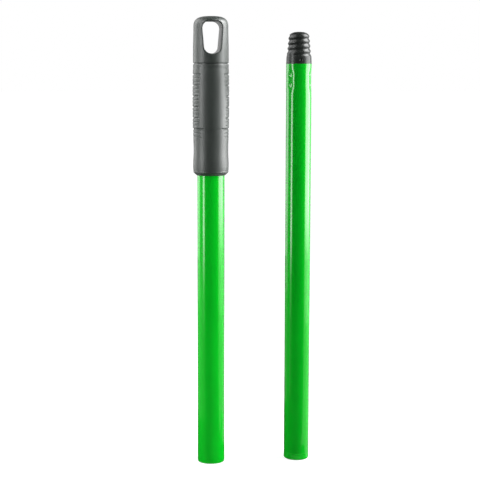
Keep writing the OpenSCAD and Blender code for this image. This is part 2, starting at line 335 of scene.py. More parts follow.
@dataclass(frozen=True)
class Finish:
    """Finish of one real material: its colour, its gloss and what its surface is like up close."""

    # the middle of a cloud pattern, where nearly all its values are
    CLOUD = (0.3, 0.7)

    name: str
    slot: Slot
    colour: str
    roughness: float
    ior: float = 1.5
    metallic: float = 0.0
    # brightness of the colour and share of the roughness, from the lowest to the highest of a pattern
    tint: Numbers = (0.95, 1.05)
    dulling: Numbers = (0.85, 1.2)

    def material(self) -> bpy.types.Material:
        """Make the Blender material once and give it again after that.

        Returns:
            The material with all its nodes.
        """
        found = bpy.data.materials.get(self.name)
        if found:
            return found
        made = bpy.data.materials.new(self.name)
        made.use_nodes = True
        made.diffuse_color = linear(self.colour)
        nodes = Nodes(made.node_tree)
        inputs = {"Metallic": self.metallic, **self.pattern(nodes)}
        if not self.metallic:
            inputs["IOR"] = self.ior
        nodes.feed(made.node_tree.nodes["Principled BSDF"], inputs)
        return made

    def pattern(self, nodes: Nodes) -> dict[str, Any]:
        """Inputs of the shader that show what the surface is like up close."""
        raise NotImplementedError

    def varied(self, nodes: Nodes, tint_by: Socket, gloss_by: Socket) -> dict[str, Any]:
        """Vary the finish's own colour in brightness by one pattern and its roughness by another.

        Args:
            nodes: node tree of the material.
            tint_by: pattern that the brightness follows.
            gloss_by: pattern that the roughness follows.

        Returns:
            Colour and roughness of the shader.
        """
        level = nodes.spread(tint_by, self.CLOUD, self.tint)
        shade = nodes.add("HueSaturation", {"Color": linear(self.colour), "Value": level})
        ends = [self.roughness * share for share in self.dulling]
        return {"Base Color": shade.outputs[0], "Roughness": nodes.spread(gloss_by, self.CLOUD, ends)}


@dataclass(frozen=True)
class ExtrudedCoating(Finish):
    """Soft PVC drawn over a steel tube: wet gloss with long draw waves and a faint orange peel."""

    peel_mm: float = 2.6
    peel_depth: float = 0.0003
    wave_mm: float = 7.0
    wave_stretch: float = 9.0
    wave_depth: float = 0.004
    coat: float = 0.7
    coat_rough: float = 0.06
    base_gloss: float = 0.2

    def pattern(self, nodes: Nodes) -> dict[str, Any]:
        """Long waves and a fine peel bend the highlights; the pigment streaks a little along the tube.

        Args:
            nodes: node tree of the material.

        Returns:
            Inputs of the shader.
        """
        streaks = nodes.clouds(self.wave_mm, stretch=self.wave_stretch)
        peel = nodes.clouds(self.peel_mm, detail=1.0)
        waves = nodes.bump(streaks, self.wave_depth)
        return {
            **self.varied(nodes, streaks, peel),
            "Normal": nodes.bump(peel, self.peel_depth, waves),
            "Coat Weight": self.coat,
            "Coat Roughness": self.coat_rough,
            "Coat IOR": self.ior,
            "Specular IOR Level": self.base_gloss,
        }


@dataclass(frozen=True)
class MouldedPlastic(Finish):
    """Plastic from a spark-eroded mould: an even satin from a fine pebble grain, with soft flow marks."""

    tint: Numbers = (0.92, 1.1)
    dulling: Numbers = (0.9, 1.12)
    # the real grain is near 0.1 mm; it is drawn a few times coarser so that it shows
    grain_mm: float = 0.45
    grain_depth: float = 0.015
    flow_mm: float = 9.0
    flow_stretch: float = 2.5
    skin: float = 0.8
    skin_gloss: float = 0.8

    def pattern(self, nodes: Nodes) -> dict[str, Any]:
        """A pebble grain breaks up the sheen and slow flow marks shift its colour and gloss.

        Args:
            nodes: node tree of the material.

        Returns:
            Inputs of the shader.
        """
        flow = nodes.clouds(self.flow_mm, detail=3.0, stretch=self.flow_stretch)
        return {
            **self.varied(nodes, flow, flow),
            "Normal": nodes.bump(nodes.clouds(self.grain_mm), self.grain_depth),
            "Coat Weight": self.skin,
            "Coat Roughness": self.roughness * self.skin_gloss,
        }


@dataclass(frozen=True)
class RolledSteel(Finish):
    """Bare strip steel rolled into a tube: a grey metal with fine lines along its length."""

    tint: Numbers = (0.85, 1.08)
    dulling: Numbers = (0.8, 1.25)
    line_mm: float = 0.35
    line_stretch: float = 60.0
    line_depth: float = 0.012
    haze_mm: float = 6.0

    def pattern(self, nodes: Nodes) -> dict[str, Any]:
        """Rolling lines run along the tube and an oil haze clouds it.

        Args:
            nodes: node tree of the material.

        Returns:
            Inputs of the shader.
        """
        lines = nodes.clouds(self.line_mm, stretch=self.line_stretch)
        haze = nodes.clouds(self.haze_mm, detail=3.0)
        return {**self.varied(nodes, haze, lines), "Normal": nodes.bump(lines, self.line_depth)}


@dataclass(frozen=True)
class ZincPlate(Finish):
    """Bright zinc plating on small steel parts: a pale metal with a cloudy chromate bloom."""

    tint: Numbers = (0.88, 1.06)
    dulling: Numbers = (0.75, 1.3)
    bloom_mm: float = 1.6

    def pattern(self, nodes: Nodes) -> dict[str, Any]:
        """Clouds of chromate dull the plate here and there."""
        bloom = nodes.clouds(self.bloom_mm, detail=3.0)
        return self.varied(nodes, bloom, bloom)


HANDLE_GREEN = ExtrudedCoating("green_pvc_coating", Slot.GREEN_COATING, "#02b31d", 0.2, 1.5,
                               coat=0.9, coat_rough=0.09)
# the head tube's coating is the handle's green made darker: painted shade for the weaker light on it, while
# its glossier coat is its own finish
HEAD_GREEN_PAINTED_SHADE = ExtrudedCoating("green_pvc_coating_slim_painted_shade", Slot.GREEN_COATING, "#029f19", 0.18, 1.5,
                             coat=1.0, coat_rough=0.045)
GRIP_GREY = MouldedPlastic("grey_polypropylene", Slot.GRIP_PLASTIC, "#2c332f", 0.53, 1.5, skin=1.0)
TIP_BLACK = MouldedPlastic("black_nylon", Slot.TIP_PLASTIC, "#202321", 0.33, 1.47,
                           grain_mm=0.6, grain_depth=0.003, skin=0.0)
LOCK_GREEN = MouldedPlastic("green_acetal", Slot.LOCK_PLASTIC, "#02aa1b", 0.24, 1.48,
                            grain_mm=0.5, grain_depth=0.006)
TUBE_STEEL = RolledSteel("rolled_strip_steel", Slot.TUBE_STEEL, "#8d9095", 0.36, metallic=1.0)
ZINC = ZincPlate("bright_zinc_plate", Slot.ZINC_STEEL, "#b4b9bf", 0.3, metallic=1.0)


def place_piece(name: str, shell: Shell, finish: Finish, body: Body) -> bpy.types.Object:
    """Put a new piece in the scene in place of the node that has its name.

    Args:
        name: CAD node that the piece stands for.
        shell: closed surface of the piece.
        finish: finish of its surface.
        body: body that it rides on.

    Returns:
        The piece's object.
    """
    mesh = shell.mesh(name + "_skin")
    mesh.materials.append(finish.material())
    piece = put(name + "_skin", mesh)
    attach(piece, body.value)
    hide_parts(name)
    LOG.info("%s: %d faces of %s", piece.name, len(mesh.polygons), finish.name)
    return piece


def dress_node(name: str, finish: Finish) -> None:
    """Give a CAD node that stays in view its finish.

    Args:
        name: node of the frame.
        finish: finish of its surface.
    """
    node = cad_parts[name]
    node.data.materials.clear()
    node.data.materials.append(finish.material())
    LOG.info("%s: frame node in %s", name, finish.name)


@dataclass(frozen=True)
class Place:
    """Place of a round upright node in the frame."""

    axis_x: float
    radius: float
    foot: float
    top: float

    @classmethod
    def of(cls, node: str) -> "Place":
        """Read the place of a node from its box, whose width is twice its radius."""
        low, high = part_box(node)
        return cls((low.x + high.x) / 2, (high.x - low.x) / 2, low.z, high.z)


@dataclass
class HandleTube:
    """Handle tube: a bare steel tube in a green coating that rolls in at the mouth."""

    coat_t: float = 0.3 * MM
    roll_h: float = 3.4 * MM
    roll_power: float = 2.2
    roll_rows: int = 18
    columns: int = 192

    def build_coating(self) -> Shell:
        """Coating: a thin tube whose outside thins to nothing at the mouth by a power of the height.

        Returns:
            The coating's closed surface.
        """
        at = Place.of("handle_coating")
        inner = at.radius - self.coat_t
        rise = np.linspace(0, 1, self.roll_rows)
        rolled = inner + self.coat_t * (1 - (1 - rise) ** self.roll_power)
        radius = np.concatenate([rolled, [at.radius, inner]])
        height = at.foot + np.concatenate([rise * self.roll_h, [at.top, at.top]])
        return Shell().add(spun(radius, height, turn(self.columns), at.axis_x), wrap_rows=True)

    def dress(self) -> None:
        """Place the coating and finish the steel tube inside it."""
        place_piece("handle_coating", self.build_coating(), HANDLE_GREEN, Body.HANDLE)
        dress_node("handle_tube", TUBE_STEEL)


@dataclass
class GripSleeve:
    """Sleeve of the grip: a waisted moulding with finger grooves on both sides."""

    bore: float = 12.3 * MM
    rim_t: float = 0.6 * MM
    bead_z: float = 9.5 * MM
    lip_power: float = 2.7
    roll_z: float = 2.95 * MM
    roll_h: float = 0.7 * MM
    roll_t: float = 0.26 * MM
    under_slope: float = 1.1
    under_round: float = 0.12 * MM
    seam_edge: float = 0.5 * MM
    seam_edge_h: float = 1.3 * MM
    rebate_t: float = 0.5 * MM
    rebate_h: float = 0.7 * MM
    # heights above the lip and thicknesses over the bore, from the bead up to the seam
    station_z: Numbers = (9.5, 22.0, 40.2, 43.2, 64.4, 85.6, 98.2)
    station_t: Numbers = (3.7, 3.25, 3.65, 3.95, 4.1, 3.95, 3.65)
    groove_first: float = 35.1 * MM
    groove_pitch: float = 3.21 * MM
    groove_count: int = 18
    groove_r: float = 0.8 * MM
    groove_deep: float = 0.75 * MM
    groove_shallow: float = 0.26 * MM
    cuff_groove: int = 2
    groove_group: int = 3
    reach: float = math.radians(46)
    bow: float = math.radians(9)
    cuff_reach: float = math.radians(57)
    end_fade: float = math.radians(5)
    droop: float = 1.0 * MM
    droop_power: int = 3
    neck_z: float = 95.2 * MM
    neck_h: float = 1.5 * MM
    neck_deep: float = 0.14 * MM
    columns: int = 200
    lip_rows: int = 80
    edge_rows: int = 10
    plain_rows: int = 26
    # rows across a groove, from its line, and first, end and step of the rows round the cuff
    across_mm: Numbers = (*np.linspace(-0.78, 0.78, 13), 1.2, 1.6, 2.0)
    cuff_mm: Numbers = (31.0, 41.0, 0.2)
    past_grooves: float = 2.2 * MM

    def plain_radius(self, z: Array) -> Array:
        """Radius without grooves: smooth steps between stations, less a bell-shaped neck at the seam.

        Args:
            z: heights above the lip.

        Returns:
            Radius at each height.
        """
        heights = np.array(self.station_z) * MM
        radii = self.bore + np.array(self.station_t) * MM
        i = np.clip(np.searchsorted(heights, z, side="right") - 1, 0, len(heights) - 2)
        t = (z - heights[i]) / (heights[i + 1] - heights[i])
        neck = self.neck_deep * np.exp(-((z - self.neck_z) / self.neck_h) ** 2)
        return radii[i] + (radii[i + 1] - radii[i]) * smooth(t) - neck

    def groove_depth(self, z: Array, angle: Array) -> Array:
        """Depth of the finger grooves.

        Each groove is a round channel: depth - (R - sqrt(R^2 - s^2)) at a distance s from its
        line. It fades out at its ends, and the two below the cuff droop towards the front.

        Args:
            z: heights above the lip, one a row.
            angle: angles round the sleeve, one a column.

        Returns:
            Depth for each row and column.
        """
        k = np.arange(self.groove_count)[:, None, None]
        from_side = np.abs(np.arcsin(np.sin(angle)))[None, None, :]
        along = 2 * k / (self.groove_count - 1) - 1
        reach = np.where(k == self.cuff_groove, self.cuff_reach, self.reach - self.bow * (1 - along ** 2))
        deep = k % self.groove_group == self.cuff_groove
        depth = np.where(deep, self.groove_deep, self.groove_shallow)
        depth = depth * (1 - smooth((from_side - reach) / self.end_fade))
        sag = np.where(k < self.cuff_groove, self.droop * (from_side / reach) ** self.droop_power, 0.0)
        s = z[None, :, None] - (self.groove_first + k * self.groove_pitch - sag)
        channel = self.groove_r - np.sqrt(np.maximum(self.groove_r ** 2 - s ** 2, 0.0))
        return np.maximum(depth - channel, 0.0).max(axis=0)

    def lip(self, z: Array) -> Array:
        """Thickness of the lip over the bore.

        A quarter of a superellipse, (t / a)^p + (1 - z / b)^p = 1, with a thin bell-shaped roll on it,
        cut off below by a slanting underside.

        Args:
            z: heights above the foot, up to the bead.

        Returns:
            Thickness at each height.
        """
        reach = self.station_t[0] * MM - self.rim_t
        power = self.lip_power
        round_t = self.rim_t + reach * (1 - (1 - z / self.bead_z) ** power) ** (1 / power)
        roll = self.roll_t * np.exp(-((z - self.roll_z) / self.roll_h) ** 2)
        return soft_min(round_t + roll, self.rim_t + self.under_slope * z, self.under_round)

    def rows(self, length: float) -> Array:
        """Heights of the rows: close together across the grooves and wider elsewhere.

        Args:
            length: length of the sleeve.

        Returns:
            Heights above the lip from the bead to the seam's edge.
        """
        line = self.groove_first + np.arange(self.groove_count)[:, None] * self.groove_pitch
        across = np.array(self.across_mm) * MM
        cuff = np.arange(*self.cuff_mm) * MM
        plain = np.linspace(self.bead_z, self.cuff_mm[0] * MM, self.plain_rows)
        last = length - self.rebate_h - self.seam_edge_h
        ends = np.linspace(line[-1, 0] + self.past_grooves, last, self.plain_rows)
        return np.unique(np.round(np.concatenate([(line + across).ravel(), cuff, plain, ends]), 8))

    def build(self) -> Shell:
        """Sleeve: lip, grooved outside, rounded edge, rebate at the seam, end face and bore.

        Returns:
            The sleeve's closed surface.
        """
        at = Place.of("grip_sleeve")
        length = at.top - at.foot
        angle = turn(self.columns)
        lip_z = np.linspace(0, self.bead_z, self.lip_rows)[:-1]
        lip_t = self.lip(lip_z)
        z = self.rows(length)
        outside = self.plain_radius(z)[:, None] - self.groove_depth(z, angle)
        edge = quarter(self.edge_rows)[1:]
        seam_r = float(self.plain_radius(z[-1:])[0]) - self.seam_edge
        edge_r = seam_r + self.seam_edge * np.cos(edge)
        shoulder = length - self.rebate_h
        edge_z = shoulder - self.seam_edge_h * (1 - np.sin(edge))
        end_z = np.array([shoulder, length, length, 0.0])
        rebate_r = seam_r - self.rebate_t
        end_r = np.array([rebate_r, rebate_r, self.bore, self.bore])
        flat = [self.bore + lip_t, edge_r, end_r]
        full = [np.repeat(r[:, None], self.columns, axis=1) for r in flat]
        radius = np.vstack([full[0], outside, full[1], full[2]])
        height = at.foot + np.concatenate([lip_z, z, edge_z, end_z])
        return Shell().add(spun(radius, height, angle, at.axis_x), wrap_rows=True)

    def dress(self) -> None:
        """Place the sleeve."""
        place_piece("grip_sleeve", self.build(), GRIP_GREY, Body.HANDLE)


@dataclass
class HangingCap:
    """Cap of the grip: a domed moulding with an egg-shaped eye through it and a plug in the sleeve."""

    bore: float = 12.3 * MM
    plug_len: float = 13.6 * MM
    plug_wall: float = 2.5 * MM
    core_top: float = 3.1 * MM
    seam_t: float = 3.65 * MM
    seam_edge: float = 0.45 * MM
    seam_edge_h: float = 1.1 * MM
    reveal_h: float = 0.08 * MM
    reveal_t: float = 0.8 * MM
    cap_t: float = 3.65 * MM
    dome_t: float = 3.25 * MM
    dome_h: float = 10.5 * MM
    dome_power: float = 3.1
    eye_top_w: float = 17.6 * MM
    eye_foot_w: float = 15.0 * MM
    eye_corner_r: float = 6.4 * MM
    eye_floor: float = 8.4 * MM
    eye_h: float = 28.6 * MM
    eye_edge: float = 1.3 * MM
    skirt_h: float = 3.0 * MM
    side_columns: int = 64
    foot_columns: int = 50
    body_rows: int = 30
    edge_rows: int = 9
    wall_rows: int = 14
    skirt_rows: int = 8
    seam_rows: int = 7
    fine_rows: int = 4000
    halvings: int = 46
    # powers that crowd the rows towards the top of the dome and towards the outline
    dome_crowd: int = 4
    rim_crowd: int = 3

    def height(self) -> float:
        """Height of the cap above its seam."""
        return Place.of("hanging_cap").top - self.seam_z()

    def seam_z(self) -> float:
        """Height of the seam, which is the top of the sleeve."""
        return Place.of("grip_sleeve").top

    def radius(self, z: Array) -> Array:
        """Radius at heights above the seam.

        It is a smooth step from the seam to the foot of the eye and another to the dome. The dome
        is a superellipse: r = R (1 - t^p)^(1/p) for the share t of its height.

        Args:
            z: heights above the seam.

        Returns:
            Radius at each height.
        """
        start = self.height() - self.dome_h
        seam, foot, dome = (self.bore + t for t in (self.seam_t, self.cap_t, self.dome_t))
        low = seam + (foot - seam) * smooth((z - self.seam_edge) / (self.eye_floor - self.seam_edge))
        high = foot + (dome - foot) * smooth((z - self.eye_floor) / (start - self.eye_floor))
        t = np.clip((z - start) / self.dome_h, 0.0, 1.0)
        round_top = (1 - t ** self.dome_power) ** (1 / self.dome_power)
        return np.where(z < self.eye_floor, low, high) * round_top

    def from_eye(self, x: Array, z: Array) -> Array:
        """Distance outside the eye's outline, which narrows to its foot and has round corners.

        It is the distance to a trapezium, to its side, top or foot, whichever is nearest, less
        the corners' radius. Folding x to its right half gives both sides at once.

        Args:
            x: places across the eye.
            z: heights above the seam.

        Returns:
            Distance in metres, negative inside the eye.
        """
        half = self.eye_h / 2 - self.eye_corner_r
        foot_x, top_x = (w / 2 - self.eye_corner_r for w in (self.eye_foot_w, self.eye_top_w))
        x, z = np.abs(x), z - self.eye_floor - self.eye_h / 2
        end_x = np.maximum(x - np.where(z < 0, foot_x, top_x), 0.0)
        end_z = np.abs(z) - half
        side = np.array([top_x - foot_x, 2 * half])
        share = np.clip(((x - foot_x) * side[0] + (z + half) * side[1]) / (side @ side), 0.0, 1.0)
        side_x, side_z = x - foot_x - share * side[0], z + half - share * side[1]
        inside = (side_x < 0) & (end_z < 0)
        near = np.minimum(np.hypot(end_x, end_z), np.hypot(side_x, side_z))
        return np.where(inside, -near, near) - self.eye_corner_r

    def eye_reach(self, direction: Array, centre_z: float, outside: Array) -> Array:
        """Distance from the eye's centre to a line a given distance outside its outline, by halving.

        Args:
            direction: unit directions in the plane of the eye, one a column.
            centre_z: height of the eye's centre above the seam.
            outside: distance outside the outline, one a row.

        Returns:
            Distance for each row and column.
        """
        low = np.zeros((len(outside), len(direction)))
        high = np.full_like(low, 2 * self.eye_h)
        for _ in range(self.halvings):
            middle = (low + high) / 2
            gap = self.from_eye(middle * direction[:, 0], centre_z + middle * direction[:, 1])
            beyond = gap > outside[:, None]
            high = np.where(beyond, middle, high)
            low = np.where(beyond, low, middle)
        return (low + high) / 2

    def outline(self) -> Array:
        """Outline of the cap above its skirt, seen from the front, as a closed loop of (x, z).

        The foot runs as x = R cos a in even angles, so that the skirt below has even columns, and
        the sides and dome run in even lengths.

        Returns:
            Points from the middle of the foot to the right, over the dome and back.
        """
        foot_a = np.linspace(-math.pi / 2, 0, self.foot_columns + 1)
        foot_r = self.radius(np.array([self.skirt_h]))
        foot = np.stack([foot_r * np.cos(foot_a), np.full_like(foot_a, self.skirt_h)], axis=-1)
        rise = 1 - (1 - np.linspace(0, 1, self.fine_rows)) ** self.dome_crowd
        z = self.skirt_h + (self.height() - self.skirt_h) * rise
        x = self.radius(z)
        run = np.concatenate([[0], np.cumsum(np.hypot(np.diff(x), np.diff(z)))])
        even = np.linspace(0, run[-1], self.side_columns + 1)[1:]
        side = np.stack([np.interp(even, run, x), np.interp(even, run, z)], axis=-1)
        right = np.vstack([foot, side])
        right[-1, 0] = 0.0
        left = right[-2:0:-1] * (-1, 1)
        return np.vstack([right, left])

    def build(self) -> Shell:
        """Cap: rays from the eye's centre carry the wall of the eye, its rounded edge and the body.

        On a ray the edge is a quarter round, y = Y + e (1 - sin a) at a distance e (1 - cos a) outside
        the eye, where Y = -sqrt(R(z)^2 - x^2) is the body's front. The back is the front's mirror
        image, and the skirt and the plug are turned about the axis.

        Returns:
            The cap's closed surface.
        """
        rim = self.outline()
        centre_z = self.eye_floor + self.eye_h / 2
        ray = rim - (0, centre_z)
        length = np.hypot(ray[:, 0], ray[:, 1])
        direction = ray / length[:, None]
        arc = quarter(self.edge_rows)
        edge = self.eye_reach(direction, centre_z, self.eye_edge * (1 - np.cos(arc)))
        share = 1 - (1 - np.linspace(0, 1, self.body_rows)[1:, None]) ** self.rim_crowd
        body = edge[-1] + (length - edge[-1]) * share
        reach = np.vstack([edge, body])
        x = reach * direction[:, 0]
        z = centre_z + reach * direction[:, 1]
        x[-1], z[-1] = rim[:, 0], rim[:, 1]
        front = -np.sqrt(np.maximum(self.radius(z) ** 2 - x ** 2, 0.0))
        front[-1, rim[:, 1] > self.skirt_h + Shell.MERGE] = 0.0
        front[:self.edge_rows] += self.eye_edge * (1 - np.sin(arc))[:, None]
        across = np.linspace(1, -1, self.wall_rows)[:, None]
        seam = self.seam_z()
        axis_x = Place.of("hanging_cap").axis_x
        shell = Shell()
        for side in (1, -1):
            shell.add(np.stack([axis_x + x, side * front, seam + z], axis=-1))
        wall = [axis_x + x[0] + 0 * across, front[0] * across, seam + z[0] + 0 * across]
        return shell.add(np.stack(wall, axis=-1)).add(self.skirt(seam, axis_x))

    def skirt(self, seam: float, axis_x: float) -> Array:
        """Skirt, open seam, plug and its hollow, turned about the axis down to the pole of the hollow.

        Args:
            seam: height of the seam.
            axis_x: place of the axis on X.

        Returns:
            Grid of points whose first row is the foot of the outline.
        """
        side_z = np.linspace(self.skirt_h, self.seam_edge_h + self.reveal_h, self.skirt_rows)
        edge = quarter(self.seam_rows)[1:]
        edge_r = self.bore + self.seam_t - self.seam_edge + self.seam_edge * np.cos(edge)
        edge_z = self.reveal_h + self.seam_edge_h * (1 - np.sin(edge))
        core_r = self.bore - self.plug_wall
        step_r = self.bore + self.seam_t - self.reveal_t
        plug_r = [step_r, step_r, self.bore, self.bore, core_r, core_r, 0.0]
        plug_z = [self.reveal_h, 0.0, 0.0, -self.plug_len, -self.plug_len, self.core_top, self.core_top]
        radius = np.concatenate([self.radius(side_z), edge_r, plug_r])
        height = seam + np.concatenate([side_z, edge_z, plug_z])
        angle = np.linspace(-math.pi / 2, 1.5 * math.pi, 4 * self.foot_columns, endpoint=False)
        return spun(radius, height, angle, axis_x)

    def dress(self) -> None:
        """Place the cap."""
        place_piece("hanging_cap", self.build(), GRIP_GREY, Body.HANDLE)


@dataclass
class Stakes:
    """Staking that holds the tip in the head tube: broad hollows in rows, with a punch mark in each."""

    count: int = 3
    rows: int = 2
    first: float = 9.8 * MM
    pitch: float = 9.0 * MM
    bearing: float = math.radians(-56 - 90)
    hollow: float = 0.72 * MM
    hollow_w: float = 4.8 * MM
    mark: float = 0.85 * MM
    mark_w: float = 1.6 * MM

    def depth(self, tube_r: float, below: Array, angle: Array) -> Array:
        """Depth by which all the layers of the tube are pressed in together.

        Each hollow and each mark is a bell, depth exp(-(u^2 + s^2) / w^2), where u is the distance
        round the tube and s the distance along it from the middle of the bell.

        Args:
            tube_r: outside radius of the tube.
            below: distance of each row below the tube's end.
            angle: angle of each column.

        Returns:
            Depth for each row and column.
        """
        bearing = self.bearing + np.arange(self.count)[:, None] * 2 * math.pi / self.count
        u = tube_r * (np.mod(angle - bearing + math.pi, 2 * math.pi) - math.pi)
        s = below - self.first - np.arange(self.rows)[:, None] * self.pitch
        square = u[:, None, None, :] ** 2 + s[None, :, :, None] ** 2
        hollows = self.hollow * np.exp(-square / self.hollow_w ** 2)
        marks = self.mark * np.exp(-square / self.mark_w ** 2)
        return (hollows + marks).sum(axis=(0, 1))


@dataclass
class HeadTube:
    """Head tube: a slimmer coated tube, staked to the tip at its upper end."""

    stakes: Stakes
    coat_t: float = 0.3 * MM
    wall_t: float = 0.4 * MM
    foot_round: float = 0.2 * MM
    steel_round: float = 0.05 * MM
    marked: float = 34.0 * MM
    foot_rows: int = 6
    plain_rows: int = 12
    marked_rows: int = 136
    columns: int = 220

    def build_layer(self, depth: float, thickness: float, foot_round: float) -> Shell:
        """Layer: a thin tube with a rounded foot, whose outside and inside follow the staking.

        Args:
            depth: depth of the layer's outside under the outside of the coating.
            thickness: thickness of the layer.
            foot_round: radius of the round on the outside of its foot.

        Returns:
            The layer's closed surface.
        """
        at = Place.of("head_coating")
        length = at.top - at.foot
        angle = turn(self.columns)
        arc = quarter(self.foot_rows)[:-1]
        plain = np.linspace(foot_round, length - self.marked, self.plain_rows)[:-1]
        marks = np.linspace(length - self.marked, length, self.marked_rows)
        rise = np.concatenate([foot_round * (1 - np.cos(arc)), plain, marks])
        trim = np.zeros(len(rise))
        trim[:len(arc)] = foot_round * (1 - np.sin(arc))
        wall = at.radius - depth - self.stakes.depth(at.radius, length - rise, angle)
        radius = np.vstack([wall - trim[:, None], wall[::-1] - thickness])
        height = at.foot + np.concatenate([rise, rise[::-1]])
        return Shell().add(spun(radius, height, angle, at.axis_x), wrap_rows=True)

    def dress(self) -> None:
        """Place the coating and the steel tube inside it."""
        coating = self.build_layer(0.0, self.coat_t, self.foot_round)
        layers = [place_piece("head_coating", coating, HEAD_GREEN_PAINTED_SHADE, Body.HEAD)]
        steel = self.build_layer(self.coat_t, self.wall_t, self.steel_round)
        layers.append(place_piece("head_tube", steel, TUBE_STEEL, Body.HEAD))
        # neither section is mirrored in the other's gloss in the picture
        for layer in layers:
            layer.visible_glossy = False


@dataclass
class ScrewTip:
    """Screw tip: a tapered right-hand thread with a rounded nose, on a collar and a staked spigot."""

    stakes: Stakes
    bore_r: float = 10.8 * MM
    collar_h: float = 6.9 * MM
    collar_foot_r: float = 11.45 * MM
    collar_top_r: float = 11.15 * MM
    collar_edge: float = 0.35 * MM
    thread_r: float = 10.95 * MM
    taper: float = 1.4 * MM
    thread_h: float = 21.5 * MM
    thread_pitch: float = 4.5 * MM
    thread_depth: float = 1.0 * MM
    under_flank: float = 0.4
    upper_flank: float = 0.46
    crest_round: float = 0.05 * MM
    start_turn: float = math.radians(-190)
    start_lift: float = 0.1 * MM
    run_in: float = 0.4
    nose_h: float = 6.0 * MM
    nose_power: float = 2.5
    pit_r: float = 1.2 * MM
    pit_depth: float = 0.9 * MM
    # shares of the pit's radius: its flat floor, and the slope from there to its edge
    pit_floor: float = 0.55
    pit_slope: float = 0.6
    spigot_len: float = 27.0 * MM
    spigot_wall: float = 3.2 * MM
    core_h: float = 3.5 * MM
    columns: int = 200
    nose_rows: int = 90
    cone_rows: int = 220
    edge_rows: int = 7
    collar_rows: int = 48
    spigot_rows: int = 60

    def thread(self, body_r: Array, z: Array, angle: Array) -> Array:
        """Radius with the thread groove cut in.

        The groove's line climbs one pitch in a turn. At a fraction p of the pitch above it, the depth
        is the thread's depth times the greatest of 1 - p / u, (p - 1) / f + 1 and 0: the underside of
        one ridge, which takes a fraction u of the pitch, the upper side of the ridge below it, which
        takes a fraction f, and the narrow crest between them. A soft minimum rounds the crest's edges.

        Args:
            body_r: radius of the plain nose, one a row.
            z: height above the tube's end, one a row.
            angle: angle of each column.

        Returns:
            Radius for each row and column.
        """
        turns = (z[:, None] - self.collar_h - self.start_lift) / self.thread_pitch
        lag = np.mod(angle - self.start_turn, 2 * math.pi) / (2 * math.pi)
        coil = np.round(turns - lag)
        begun = smooth((np.maximum(coil, 0) + lag) / self.run_in) * (coil >= 0)
        p = np.mod(turns - lag, 1.0)
        sides = np.maximum(1 - p / self.under_flank, (p - 1) / self.upper_flank + 1)
        crest = self.thread_r - self.taper * (z[:, None] - self.collar_h) / (self.thread_h - self.nose_h)
        groove = crest - self.thread_depth * begun * sides + 2 * self.crest_round * (1 - begun)
        return soft_min(body_r[:, None] * np.ones_like(groove), groove, self.crest_round)

    def build(self) -> Shell:
        """Tip: nose, thread, collar with its gate pit, spigot and hollow, from pole to pole.

        Returns:
            The tip's closed surface.
        """
        end = Place.of("head_coating")
        angle = turn(self.columns)
        top = self.collar_h + self.thread_h
        end_r = self.thread_r - self.taper
        arc = quarter(self.nose_rows)[::-1]
        nose_z = top - self.nose_h + self.nose_h * np.sin(arc) ** (2 / self.nose_power)
        nose_r = end_r * np.cos(arc) ** (2 / self.nose_power)
        nose_r[0] = 0.0
        cone_z = np.linspace(top - self.nose_h, self.collar_h, self.cone_rows)[1:]
        cone_r = end_r + self.taper * (top - self.nose_h - cone_z) / (self.thread_h - self.nose_h)
        thread_z = np.concatenate([nose_z, cone_z])
        thread_r = self.thread(np.concatenate([nose_r, cone_r]), thread_z, angle)
        collar_r, collar_z = self.collar(angle)
        below = np.linspace(0, self.spigot_len, self.spigot_rows)
        spigot_r = self.bore_r - self.stakes.depth(end.radius, below, angle)
        core_r = self.bore_r - self.spigot_wall
        hollow_r = np.repeat(np.array([core_r, core_r, 0.0])[:, None], self.columns, axis=1)
        hollow_z = [-self.spigot_len, self.core_h, self.core_h]
        radius = np.vstack([thread_r, collar_r, spigot_r, hollow_r])
        height = end.top + np.concatenate([thread_z, collar_z, -below, hollow_z])
        return Shell().add(spun(radius, height, angle, end.axis_x))

    def collar(self, angle: Array) -> tuple[Array, Array]:
        """Collar: a slight cone with a rounded top edge and the moulding gate's pit at the front.

        Args:
            angle: angle of each column.

        Returns:
            Radius for each row and column, and the height of each row.
        """
        edge = quarter(self.edge_rows)
        edge_r = self.collar_top_r - self.collar_edge * (1 - np.sin(edge))
        edge_z = self.collar_h - self.collar_edge * (1 - np.cos(edge))
        side_z = np.linspace(edge_z[-1], 0, self.collar_rows)[1:]
        side_r = self.collar_foot_r + (self.collar_top_r - self.collar_foot_r) * side_z / self.collar_h
        z = np.concatenate([edge_z, side_z])
        r = np.concatenate([edge_r, side_r])
        across = self.collar_top_r * np.sin(angle + math.pi / 2)
        from_pit = np.hypot(across[None, :], z[:, None] - self.collar_h / 2)
        from_pit = np.where(np.sin(angle) < 0, from_pit, self.collar_h)
        pit = self.pit_depth * (1 - smooth((from_pit / self.pit_r - self.pit_floor) / self.pit_slope))
        return r[:, None] - pit, z

    def dress(self) -> None:
        """Place the tip."""
        place_piece("threaded_tip", self.build(), TIP_BLACK, Body.HEAD)


@dataclass
class TwistLock:
    """Twist lock: a moulded plug, a split shoe on its spindle, and a washer and screw that keep it on."""

    def dress(self) -> None:
        """Finish the four pieces of the lock."""
        dress_node("lock_plug", LOCK_GREEN)
        dress_node("lock_shoe", LOCK_GREEN)
        dress_node("lock_washer", ZINC)
        dress_node("lock_screw", ZINC)


